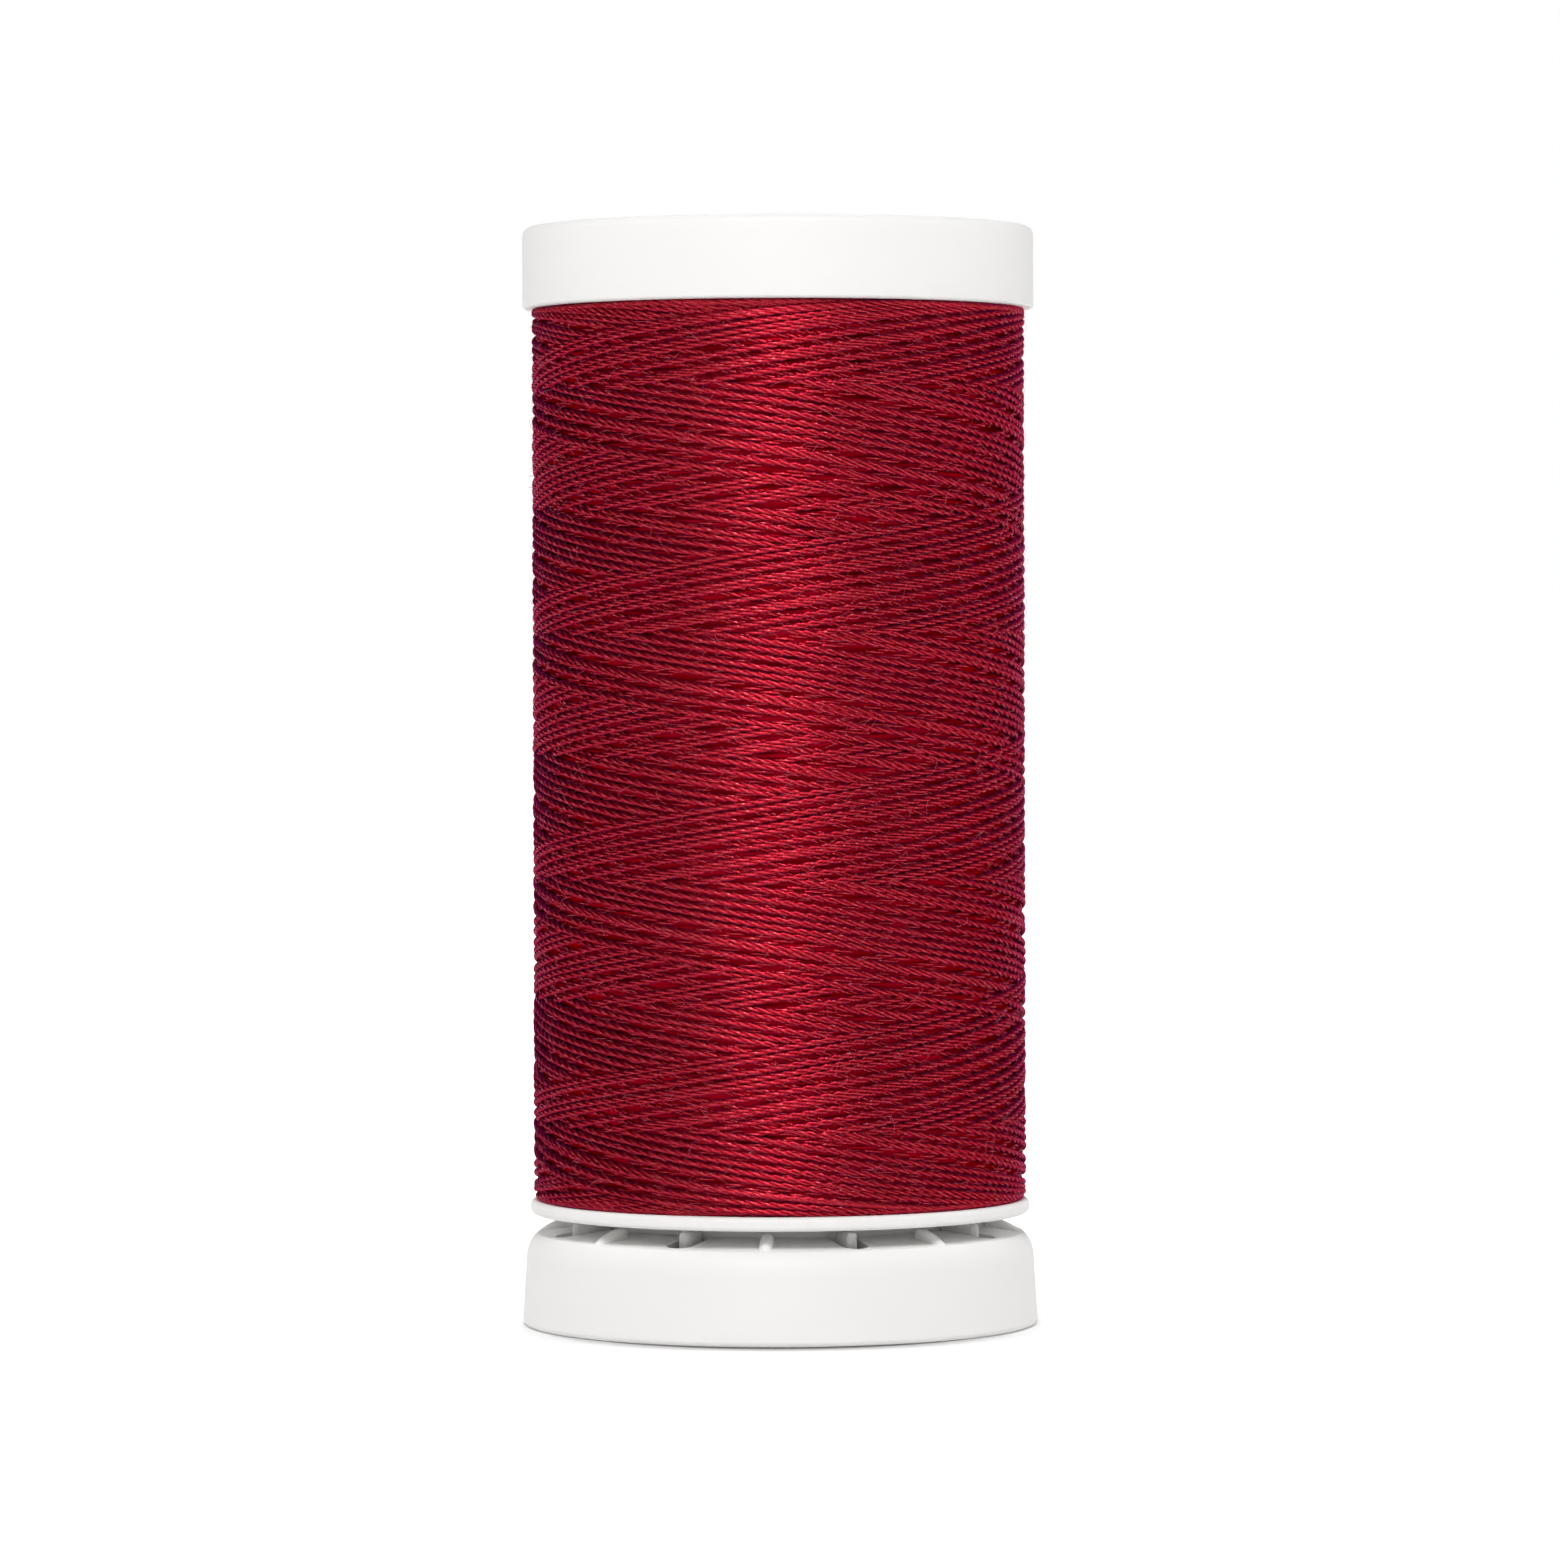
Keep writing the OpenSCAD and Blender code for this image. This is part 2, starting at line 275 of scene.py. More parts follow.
@dataclass(frozen=True)
class MouldedPlastic:
    """White polystyrene from a polished mould, a little uneven where it shrank."""

    name: str = "moulded_white"
    colour: Colour = (0.85, 0.842, 0.83, 1.0)
    shade: Colour = (0.83, 0.82, 0.805, 1.0)
    roughness: float = 0.46
    cloud_roughness: float = 0.08
    grain_roughness: float = 0.05
    cloud_cells: float = 90.0
    grain_cells: float = 2600.0
    grain_depth: float = 0.004
    grain_strength: float = 0.6
    sink_cells: float = 160.0
    sink_depth: float = 0.05
    sink_strength: float = 0.5
    ior: float = 1.5
    specular: float = 0.45

    def build(self) -> Material:
        """Builds the material.

        Returns:
            The material.
        """
        s = Shader(self.name)
        cloud = s.noise(self.cloud_cells, detail=2.0)
        grain = s.noise(self.grain_cells, detail=2.0)
        sink = s.noise(self.sink_cells, detail=1.0)
        sunk = s.bump(sink, self.sink_depth * MM, self.sink_strength)
        s.set(
            Base_Color=s.blend(cloud, self.colour, self.shade),
            Roughness=self.roughness + self.cloud_roughness * cloud + self.grain_roughness * grain,
            Normal=s.bump(grain, self.grain_depth * MM, self.grain_strength, sunk),
            IOR=self.ior, Specular_IOR_Level=self.specular,
        )
        return s.material


@dataclass(frozen=True)
class TwistedThread:
    """Dyed polyester thread: dark red with painted shade between its plies and a painted highlight
    on their crests, with a silky shine of its own.

    The shares say how far a ply's crest (a painted highlight), its fibres (their own tone and
    painted glints) and wider patches (tone at random) lift the colour from the dark red with its
    painted shade to the pale pink-red of the painted highlight.
    The cells of its fibres are counted round the strand, and in a millimetre along it.
    """

    name: str = "thread_red"
    # The two ends of the base colour: a dark red that also stands for the shade in the gaps
    # (painted shade), and a pale pink-red that stands for the shine (painted highlight).
    dark_red_and_painted_shade: Colour = (0.18, 0.0004, 0.006, 1.0)
    bright_red_and_painted_highlight: Colour = (0.67, 0.03, 0.058, 1.0)
    crest_painted_highlight_share: float = 0.38
    fibre_tone_and_glint_share: float = 0.9
    patch_share: float = 0.3
    deep_share: float = 0.45
    patch_cells: float = 220.0
    fibre_cells: Triple = (28.0, 3.5, 0.0)
    fibre_depth: float = 0.012
    fibre_strength: float = 0.6
    crest_width: float = 0.8
    evened: float = 0.65
    roughness: float = 0.29
    fibre_roughness: float = 0.2
    metallic: float = 0.9
    patch_metallic: float = 0.1
    specular: float = 0.25
    specular_tint: Colour = (0.5, 0.05, 0.15, 1.0)
    anisotropic: float = 0.2
    rotation: float = 0.25
    coat_gain: float = 8.0
    coat_loss: float = 4.0
    coat_roughness: float = 0.22
    sheen: float = 0.32
    sheen_roughness: float = 0.3
    sheen_tint: Colour = (1.0, 0.04, 0.6, 1.0)

    def _evened_normal(self, s: Shader) -> Value:
        """The normal, less most of its tilt round the package, as fibres that run round it shine.

        Args:
            s: the shader, on a piece wound round the Z axis.

        Returns:
            The normal.
        """
        normal = s.add("ShaderNodeTexCoord", {}, {}, "Normal")
        around = s.vector("NORMALIZE", s.vector("CROSS_PRODUCT", (0.0, 0.0, 1.0), s.position))
        tilt = s.vector("DOT_PRODUCT", normal, around, output="Value")
        return s.vector("NORMALIZE", s.vector("MULTIPLY_ADD", around, tilt * -self.evened, normal))

    def build(self) -> Material:
        """Builds the material.

        Returns:
            The material.
        """
        s = Shader(self.name)
        patches = s.noise(self.patch_cells, detail=3.0)
        where = s.add("ShaderNodeUVMap", {"uv_map": "UVMap"}, {})
        round_strand = s.add("ShaderNodeSeparateXYZ", {}, {0: where}, "X")
        ply = abs((round_strand * (PLIES * math.pi)).sine())
        # Ply crest mask: in the base colour it paints a highlight along the crests and leaves
        # painted shade in the valleys; it also limits the coat.
        crest = ((ply - (1.0 - self.crest_width)) * (1.0 / self.crest_width)).clamped()
        fibres = s.noise(1.0, 2.0, s.vector("MULTIPLY", where, self.fibre_cells))
        # Painted light in the base colour: crests and fibre glints lift it towards the painted
        # highlight, and random patches towards a paler red.
        lift = crest * self.crest_painted_highlight_share + fibres * self.fibre_tone_and_glint_share + patches * self.patch_share
        normal = self._evened_normal(s)
        s.set(
            Base_Color=s.blend((lift - self.deep_share).clamped(), self.dark_red_and_painted_shade, self.bright_red_and_painted_highlight),
            Roughness=self.roughness + self.fibre_roughness * fibres,
            Metallic=self.metallic + self.patch_metallic * patches,
            Coat_Weight=(self.coat_gain * fibres - self.coat_loss).clamped() * crest,
            Normal=s.bump(fibres, self.fibre_depth * MM, self.fibre_strength, normal),
            Specular_IOR_Level=self.specular, Specular_Tint=self.specular_tint,
            Anisotropic=self.anisotropic, Anisotropic_Rotation=self.rotation,
            Coat_Roughness=self.coat_roughness, Sheen_Weight=self.sheen,
            Sheen_Roughness=self.sheen_roughness, Sheen_Tint=self.sheen_tint,
        )
        return s.material


@dataclass(frozen=True)
class LayersBelow:
    """The thread's lower layers, coloured darker than the strand as painted shade from the strands
    over them.
    """

    name: str = "thread_below"
    # A shaded and a lit copy of the red, both darker than the strand's finish: painted shade and
    # painted light.
    dark_red_and_painted_shade: Colour = (0.12, 0.0003, 0.002, 1.0)
    lit: Colour = (0.23, 0.001, 0.008, 1.0)
    roughness: float = 0.45
    metallic: float = 1.0
    specular_tint: Colour = (0.25, 0.005, 0.04, 1.0)
    streak_cells: Triple = (160.0, 160.0, 2400.0)
    streak_depth: float = 0.2
    contrast: float = 3.0

    def build(self) -> Material:
        """Builds the material.

        Returns:
            The material.
        """
        s = Shader(self.name)
        streaks = s.noise(1.0, 1.0, s.vector("MULTIPLY", s.position, self.streak_cells))
        # Painted light and shade: streaks at random between the shaded and the lit red.
        lit = ((streaks - 0.5) * self.contrast + 0.5).clamped()
        s.set(
            Base_Color=s.blend(lit, self.dark_red_and_painted_shade, self.lit), Roughness=self.roughness,
            Metallic=self.metallic, Specular_Tint=self.specular_tint,
            Normal=s.bump(streaks, self.streak_depth * MM),
        )
        return s.material


@dataclass(frozen=True)
class FibreEnds:
    """Single dyed fibres, some of them paler."""

    name: str = "fibre_red"
    colour: Colour = (0.45, 0.008, 0.035, 1.0)
    pale: Colour = (0.8, 0.18, 0.26, 1.0)
    cells: float = 900.0
    roughness: float = 0.4

    def build(self) -> Material:
        """Builds the material.

        Returns:
            The material.
        """
        s = Shader(self.name)
        pale = s.noise(self.cells, detail=1.0)
        s.set(Base_Color=s.blend(pale, self.colour, self.pale), Roughness=self.roughness)
        return s.material


# -------- meshes


def rounded(corners: list[tuple[float, ...]], steps: int = 6) -> list[Vector]:
    """An outline with its corners rounded.

    Args:
        corners: radius, height and, where the corner is rounded, its fillet, in millimetres.
        steps: straight pieces in a fillet.

    Returns:
        The outline's points in the XZ plane, in metres.
    """
    points = []
    for i, (r, z, *fillet) in enumerate(corners):
        here = Vector((r, z))
        if not fillet:
            points.append(here)
            continue
        before = (Vector(corners[i - 1][:2]) - here).normalized()
        after = (Vector(corners[(i + 1) % len(corners)][:2]) - here).normalized()
        half = before.angle(after) / 2
        reach = fillet[0] / math.tan(half)
        centre = here + (before + after).normalized() * fillet[0] / math.sin(half)
        first = here + before * reach - centre
        turn = first.angle_signed(here + after * reach - centre)
        for k in range(steps + 1):
            points.append(centre + Matrix.Rotation(-turn * k / steps, 2) @ first)
    return [Vector((p.x, 0.0, p.y)) * MM for p in points]


def arc(centre: Vector, radius: float, start: float, end: float, steps: int) -> list[Vector]:
    """Points of an arc in the XZ plane.

    Args:
        centre: radius from the axis and height of its centre, in millimetres.
        radius: its radius in millimetres.
        start: angle of its first point in degrees.
        end: angle of its last point in degrees.
        steps: straight pieces in it.

    Returns:
        The points in metres.
    """
    turns = [math.radians(start + (end - start) * k / steps) for k in range(steps + 1)]
    points = [(centre.x + radius * math.cos(t), centre.y + radius * math.sin(t)) for t in turns]
    return [Vector((r, 0.0, z)) * MM for r, z in points]


def linked(name: str, data: bpy.types.ID) -> Piece:
    """Adds an object to the scene.

    Args:
        name: its name.
        data: its mesh, curve, lamp or camera.

    Returns:
        The object.
    """
    made = bpy.data.objects.new(name, data)
    bpy.context.scene.collection.objects.link(made)
    return made


def mesh_of(source: Piece) -> bpy.types.Mesh:
    """The mesh that an object's curve or modifiers make."""
    graph = bpy.context.evaluated_depsgraph_get()
    return bpy.data.meshes.new_from_object(source.evaluated_get(graph))


def swept(curve: bpy.types.Curve) -> bpy.types.Mesh:
    """The mesh that a curve and its bevel make, with the curve's name.

    Args:
        curve: the curve.

    Returns:
        The mesh.
    """
    line = linked(curve.name, curve)
    mesh = mesh_of(line)
    bpy.data.objects.remove(line)
    mesh.name = curve.name
    return mesh


def new_piece(name: str, form: Form, smooth: float = 35.0) -> Piece:
    """An object from a bmesh, smooth but for edges sharper than an angle.

    Args:
        name: the piece's name.
        form: its bmesh, which is freed.
        smooth: the angle in degrees.

    Returns:
        The object.
    """
    limit = math.radians(smooth)
    for face in form.faces:
        face.smooth = True
    for edge in form.edges:
        edge.smooth = len(edge.link_faces) == 2 and edge.calc_face_angle() < limit
    mesh = bpy.data.meshes.new(name)
    form.to_mesh(mesh)
    form.free()
    return linked(name, mesh)


def turned(outline: list[Vector], steps: int = 192) -> Form:
    """A body of revolution about Z.

    Args:
        outline: the closed outline's points in the XZ plane.
        steps: faces round the body.

    Returns:
        The body, with its faces pointing out.
    """
    form = bmesh.new()
    points = [form.verts.new(p) for p in outline]
    edges = [form.edges.new((a, b)) for a, b in zip(points, points[1:] + points[:1])]
    bmesh.ops.spin(form, geom=points + edges, cent=(0, 0, 0), axis=(0, 0, 1), angle=2 * math.pi,
                   steps=steps, use_merge=True)
    bmesh.ops.remove_doubles(form, verts=form.verts, dist=FINE_WELD)
    bmesh.ops.recalc_face_normals(form, faces=form.faces)
    return form


def thicken(form: Form, shift: Triple) -> None:
    """Extrudes flat faces into a closed form with its faces pointing out.

    Args:
        form: the faces.
        shift: how far and which way, in metres.
    """
    grown = bmesh.ops.extrude_face_region(form, geom=form.faces[:])["geom"]
    moved = [v for v in grown if isinstance(v, bmesh.types.BMVert)]
    bmesh.ops.translate(form, verts=moved, vec=shift)
    bmesh.ops.recalc_face_normals(form, faces=form.faces)


def slab(outline: list[Vector], thickness: float, edge: float, above: float,
         sharp: float = 40.0) -> Form:
    """An upright slab along +X, with the edges of its sides rounded above a height.

    Args:
        outline: its outline in the XZ plane, in metres.
        thickness: its thickness in millimetres.
        edge: radius of the rounding in millimetres.
        above: the height in millimetres.
        sharp: least angle of the edges that are rounded, in degrees.

    Returns:
        The slab.
    """
    form = bmesh.new()
    half = thickness * MM / 2
    form.faces.new([form.verts.new(p - Vector((0.0, half, 0.0))) for p in outline])
    thicken(form, (0.0, 2 * half, 0.0))
    high = [e for e in form.edges if max(v.co.z for v in e.verts) > above * MM]
    outer = [e for e in high if e.calc_face_angle() > math.radians(sharp)]
    bmesh.ops.bevel(form, geom=outer, offset=edge * MM, segments=5, profile=0.5, affect="EDGES",
                    material=-1, clamp_overlap=True)
    return form


def ring(name: str, form: Form, count: int, turn: float) -> Piece:
    """Copies of a form round the axis.

    Args:
        name: the name of the object that they make.
        form: the form along +X, which is freed.
        count: how many copies.
        turn: angle of the first one from the front, which is -Y, in degrees.

    Returns:
        The object.
    """
    mesh = bpy.data.meshes.new(name)
    form.to_mesh(mesh)
    form.free()
    copies = bmesh.new()
    for k in range(count):
        known = len(copies.verts)
        copies.from_mesh(mesh)
        copies.verts.ensure_lookup_table()
        place = Matrix.Rotation(math.radians(turn - 90.0 + 360.0 * k / count), 3, "Z")
        bmesh.ops.rotate(copies, verts=copies.verts[known:], cent=(0, 0, 0), matrix=place)
    return new_piece(name, copies)


def join(target: Piece, tool: Piece, how: Join) -> None:
    """Adds one object to another, or cuts it away, and deletes it.

    Args:
        target: the object that changes.
        tool: the object that is added or cut away.
        how: which of the two.
    """
    modifier = target.modifiers.new(how.value, "BOOLEAN")
    modifier.operation = how.value
    modifier.solver = "EXACT"
    modifier.object = tool
    mesh = mesh_of(target)
    target.modifiers.clear()
    target.data = mesh
    bpy.data.objects.remove(tool)


def finished(piece: Piece, material: Material, slot: Slot, body: Body, *nodes: str) -> None:
    """Dresses a piece and tells the frame about it.

    Args:
        piece: the piece.
        material: its finish.
        slot: not used.
        body: the body that it rides on.
        nodes: the nodes that it stands for.
    """
    piece.data.materials.clear()
    piece.data.materials.append(material)
    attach(piece, body.value)
    if nodes:
        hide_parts(*nodes)
    log.info("%s: %d faces", piece.name, len(piece.data.polygons))


# -------- sub-assemblies
# Lengths and heights are in millimetres, and angles in degrees.


@dataclass
class Heights:
    """Sizes that the pieces share: some of them named, the others read from the frame."""

    lay_gap: float = 0.04
    tube_r: float = 11.0
    bore_r: float = 9.8
    pin_hole_r: float = 3.5
    pin_lead: float = 0.4
    collar_r: float = 5.0
    bevel: float = 0.3
    recess: float = 0.35
    flange_t: float = 0.85
    winding_low: float = field(init=False)
    winding_high: float = field(init=False)
    top: float = field(init=False)
    tail: float = field(init=False)
    tube_top: float = field(init=False)
    flange_r: float = field(init=False)
    cap_r: float = field(init=False)
    foot_r: float = field(init=False)

    def __post_init__(self) -> None:
        """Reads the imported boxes."""
        low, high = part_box("thread_package")
        self.winding_low = low[2] / MM - self.lay_gap
        self.winding_high = high[2] / MM + self.lay_gap
        low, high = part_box("spool_core")
        self.tail, self.tube_top, self.flange_r = low[2] / MM, high[2] / MM, high[0] / MM
        low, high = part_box("top_cap")
        self.top, self.cap_r = high[2] / MM, high[0] / MM
        self.foot_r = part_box("lock_foot")[1][0] / MM


@dataclass
class TopCap:
    """The flat cap: a shell, a collar round the pin hole and a plug for the tube's mouth."""

    at: Heights
    wall: float = 1.3
    edge: float = 0.5
    hem: float = 0.2
    rim_w: float = 2.2
    plug_r: float = 9.77
    plug_wall: float = 1.0
    plug_len: float = 6.0

    def build(self, plastic: Material) -> None:
        """Makes and dresses the cap.

        Args:
            plastic: its finish.
        """
        at, low, top, under = self.at, self.at.winding_high, self.at.top, self.at.tube_top
        hole, collar, lead, recess = at.pin_hole_r, at.collar_r, at.pin_lead, at.recess
        inner, rim = at.cap_r - self.wall, at.cap_r - self.rim_w
        plug, plug_in, plug_low = self.plug_r, self.plug_r - self.plug_wall, under - self.plug_len
        corners = [
            (inner, low, ARRIS), (at.cap_r, low, self.hem), (at.cap_r, top, self.edge),
            (rim, top, FINE), (rim - recess, top - recess, STEP),
            (collar + recess, top - recess, STEP), (collar, top, FINE), (hole + lead, top, ARRIS),
            (hole, top - lead, ARRIS), (hole, low, FINE), (collar, low, FINE),
            (collar, under, INNER), (plug_in, under, INNER), (plug_in, plug_low, FINE),
            (plug - at.bevel, plug_low), (plug, plug_low + at.bevel), (plug, under),
            (inner, under, FINE),
        ]
        piece = new_piece("cap_shell", turned(rounded(corners)))
        finished(piece, plastic, Slot.PLASTIC, Body.SPOOL, "top_cap")


@dataclass
class SpoolCore:
    """The tube with its two flanges and the groove for the foot's snap bead."""

    at: Heights
    rim_round: float = 0.3
    upper_flange_r: float = 14.57
    groove_low: float = 12.0
    groove_high: float = 14.7
    groove_depth: float = 0.25

    def build(self, plastic: Material) -> None:
        """Makes and dresses the core.

        Args:
            plastic: its finish.
        """
        at, tube, bore, bevel = self.at, self.at.tube_r, self.at.bore_r, self.at.bevel
        low, high, upper_r = at.winding_low, at.winding_high, self.upper_flange_r
        lower, upper, groove = low - at.flange_t, high + at.flange_t, bore + self.groove_depth
        corners = [
            (bore + bevel, at.tail), (tube - bevel, at.tail), (tube, at.tail + bevel),
            (tube, lower, STEP), (at.flange_r, lower, self.rim_round),
            (at.flange_r, low, self.rim_round), (tube, low), (tube, high), (upper_r, high),
            (upper_r, upper), (tube, upper), (tube, at.tube_top),
            (bore + bevel, at.tube_top), (bore, at.tube_top - bevel), (bore, self.groove_high),
            (groove, self.groove_high), (groove, self.groove_low), (bore, self.groove_low),
            (bore, at.tail + bevel),
        ]
        piece = new_piece("core_tube", turned(rounded(corners)))
        finished(piece, plastic, Slot.PLASTIC, Body.SPOOL, "spool_core")


@dataclass
class LockFoot:
    """The foot: leaning side, round shoulder, ribbed deck, posts in its openings, and sleeve.

    What cuts the openings and the slots reaches past the wall that it cuts.
    """

    at: Heights
    lean: float = 3.4
    bottom_round: float = 0.4
    bottom_steps: int = 8
    shoulder_z: float = 4.35
    shoulder_r: float = 1.9
    shoulder_steps: int = 14
    lip_angle: float = 47.0
    lip_round: float = 0.3
    lip_steps: int = 6
    deck_slope: float = 8.0
    deck_t: float = 1.0
    deck_gap: float = 0.3
    wall: float = 1.2
    wall_root: float = 0.4
    plate: float = 1.1
    rim_w: float = 2.2
    collar_top: float = 4.0
    sleeve_r: float = 9.74
    sleeve_wall: float = 1.0
    sleeve_len: float = 14.0
    bead_out: float = 0.19
    bead_h: float = 0.8
    bead_drop: float = 0.8
    rib_count: int = 8
    rib_turn: float = -3.5
    rib_t: float = 0.86
    crest_r: float = 3.85
    crest_start: float = 5.0
    rib_inset: float = 0.02
    nose_r: float = 13.0
    post_r: float = 13.5
    post_gap: float = 0.15
    post_round: float = 0.3
    post_round_from: float = 0.2
    post_draft: float = 0.24
    seat_gap: float = 0.05
    opening_w: float = 1.7
    opening_r: float = 14.6
    slot_count: int = 4
    slot_turn: float = 45.0
    slot_w: float = 1.2
    slot_len: float = 7.0
    slot_in: float = 0.4
    root: float = 0.3
    cut_past: float = 1.0
    cut_h: float = 4.0
    smooth_angle: float = 32.0
    inner_r: float = field(init=False)
    floor: float = field(init=False)
    shoulder: Vector = field(init=False)
    lip: Vector = field(init=False)
    crest: Vector = field(init=False)

    def __post_init__(self) -> None:
        """Works out the wall, the floor and the centres of the shoulder, lip and crests."""
        lean, lip = math.radians(self.lean), math.radians(self.lip_angle)
        rise = self.shoulder_z - self.bottom_round
        self.inner_r = self.at.foot_r - rise * math.tan(lean) - self.wall
        self.floor = self.at.recess + self.plate
        out = Vector((math.cos(lip), math.sin(lip)))
        self.shoulder = Vector((self.inner_r + self.wall - self.shoulder_r * math.cos(lean),
                                self.shoulder_z - self.shoulder_r * math.sin(lean)))
        edge = self.shoulder + self.shoulder_r * out
        self.lip = edge - self.lip_round * out
        self.crest = edge - (self.crest_r + self.rib_inset) * out

    def _deck(self, r: float) -> float:
        """Height of the deck at a radius."""
        slope = math.radians(self.deck_slope)
        return self.lip.y + self.lip_round / math.cos(slope) + (self.lip.x - r) * math.tan(slope)

    def _shell(self) -> Form:
        """The turned part of the foot.

        Returns:
            The shell.
        """
        at, floor, inner, recess = self.at, self.floor, self.inner_r, self.at.recess
        hole, collar, lead = at.pin_hole_r, at.collar_r, at.pin_lead
        sleeve, sleeve_in = self.sleeve_r, self.sleeve_r - self.sleeve_wall
        sleeve_top = floor + self.sleeve_len
        deck_in = at.tube_r + self.deck_gap
        bead_top = sleeve_top - self.bead_drop
        bead_low = bead_top - self.bead_h
        bead_r, ramp = sleeve + self.bead_out, self.bead_h / 3
        side = at.foot_r - self.bottom_round, self.bottom_round
        rim = side[0] - self.rim_w
        start = rounded([
            (hole, recess + lead), (hole + lead, recess, FINE), (rim, recess, ARRIS),
            (rim + recess, 0.0, FINE), side])[1:-1]
        end = rounded([
            (self.lip.x, self.lip.y), (deck_in, self._deck(deck_in), STEP),
            (deck_in, self._deck(deck_in) - self.deck_t, FINE),
            (inner, self._deck(inner) - self.deck_t, INNER), (inner, floor, self.wall_root),
            (sleeve, floor, INNER), (sleeve, bead_low), (bead_r, bead_low + ramp),
            (bead_r, bead_top - ramp), (sleeve, bead_top), (sleeve - at.bevel, sleeve_top),
            (sleeve_in, sleeve_top), (sleeve_in, floor, INNER), (collar, floor, INNER),
            (collar, self.collar_top, ARRIS), (hole, self.collar_top, ARRIS),
            (hole, recess + lead)])[1:]
        bottom = arc(Vector(side), self.bottom_round, -90.0, 0.0, self.bottom_steps)
        shoulder = arc(
            self.shoulder, self.shoulder_r, self.lean, self.lip_angle, self.shoulder_steps)
        lip_end = 90.0 - self.deck_slope
        lip = arc(self.lip, self.lip_round, self.lip_angle, lip_end, self.lip_steps)
        return turned(start + bottom + shoulder + lip[1:] + end)

    def _rib(self, steps: int = 10) -> Form:
        """One rib along +X, whose round crest arches inwards from the lip to a round nose.

        Args:
            steps: straight pieces along the crest, in the nose and across the rib.

        Returns:
            The rib, with its root below the deck.
        """
        half = self.rib_t / 2
        start = math.radians(self.lip_angle - self.crest_start)
        end = math.pi / 2 + math.asin((self.crest.x - self.nose_r) / self.crest_r)
        stations = [(start + (end - start) * k / steps, 0.0) for k in range(steps)]
        stations += [(end, math.pi / 2 * k / steps) for k in range(steps + 1)]
        form = bmesh.new()
        loops = []
        for turn, nose in stations:
            out = Vector((math.cos(turn), math.sin(turn)))
            along = Vector((-out.y, out.x)) * half * math.sin(nose)
            middle = self.crest + out * (self.crest_r - half) + along
            loop = []
            for k in range(steps + 1):
                across = math.pi * k / steps
                point = middle + out * half * math.sin(across) * math.cos(nose)
                loop.append((point.x, half * math.cos(across) * math.cos(nose), point.y))
            root = min(self._deck(middle.x), middle.y) - self.root
            loop = [(middle.x, loop[0][1], root), *loop, (middle.x, loop[-1][1], root)]
            loops.append([form.verts.new(Vector(point) * MM) for point in loop])
        for first, second in zip(loops, loops[1:]):
            for k in range(len(first)):
                form.faces.new((first[k - 1], first[k], second[k], second[k - 1]))
        form.faces.new(loops[0])
        bmesh.ops.remove_doubles(form, verts=form.verts, dist=WELD)
        bmesh.ops.dissolve_degenerate(form, edges=form.edges, dist=WELD)
        bmesh.ops.recalc_face_normals(form, faces=form.faces)
        return form

    def _post(self) -> Form:
        """One post along +X, from the sleeve through an opening.

        Returns:
            The post, which has a shelf that the tube lands on.
        """
        clear, root = self.at.tube_r + self.post_gap, self.sleeve_r - self.root
        low, shelf = self.floor - self.root, self.at.tail - self.seat_gap
        top = self.crest.y + self.crest_r
        outline = rounded([(root, low), (self.post_r, low), (self.post_r, top), (clear, top),
                           (clear, shelf), (root, shelf)])
        form = slab(outline, self.rib_t, self.post_round, shelf + self.post_round_from)
        for vert in form.verts:
            rise = (vert.co.z / MM - self.floor) / (top - self.floor)
            vert.co.y *= 1.0 - self.post_draft * max(rise, 0.0) ** 2
        return form

    def _opening(self) -> Form:
        """What one opening cuts from the deck.

        Returns:
            The cutter along +X, with a round outer end.
        """
        form = bmesh.new()
        half = self.opening_w / 2
        middle = self.opening_r - half
        low = self._deck(self.opening_r) - self.deck_t - self.cut_past
        place = Matrix.Translation(Vector((middle, 0.0, low)) * MM)
        disc = bmesh.ops.create_circle(
            form, cap_ends=True, segments=32, radius=half * MM, matrix=place)
        for vert in disc["verts"]:
            if vert.co.x < middle * MM - WELD:
                vert.co.x = (self.at.tube_r - self.cut_past) * MM
                aside = abs(vert.co.y) > FINE_WELD
                vert.co.y = math.copysign(half * MM, vert.co.y) if aside else 0.0
        bmesh.ops.remove_doubles(form, verts=form.verts, dist=WELD)
        thicken(form, (0.0, 0.0, self.cut_h * MM))
        return form

    def _slot(self) -> Form:
        """What one slot cuts from the sleeve.

        Returns:
            The cutter along +X.
        """
        form = bmesh.new()
        height = self.slot_len + self.cut_past
        middle = self.floor + self.sleeve_len - self.slot_len / 2 + self.cut_past / 2
        place = Matrix.Translation(Vector((self.sleeve_r - self.slot_in, 0.0, middle)) * MM)
        depth = self.sleeve_wall + 2 * self.cut_past
        size = Matrix.Diagonal(Vector((depth, self.slot_w, height)) * MM).to_4x4()
        bmesh.ops.create_cube(form, size=1.0, matrix=place @ size)
        return form

    def build(self, plastic: Material) -> None:
        """Makes and dresses the foot.

        Args:
            plastic: its finish.
        """
        piece = new_piece("foot_shell", self._shell())
        count, turn = self.rib_count, self.rib_turn
        between = turn + 180.0 / count
        join(piece, ring("openings", self._opening(), count, between), Join.CUT)
        join(piece, ring("ribs", self._rib(), count, turn), Join.ADD)
        join(piece, ring("posts", self._post(), count, between), Join.ADD)
        join(piece, ring("slots", self._slot(), self.slot_count, self.slot_turn), Join.CUT)
        piece.data.shade_smooth()
        piece.data.set_sharp_from_angle(angle=math.radians(self.smooth_angle))
        finished(piece, plastic, Slot.PLASTIC, Body.FOOT, "lock_foot")


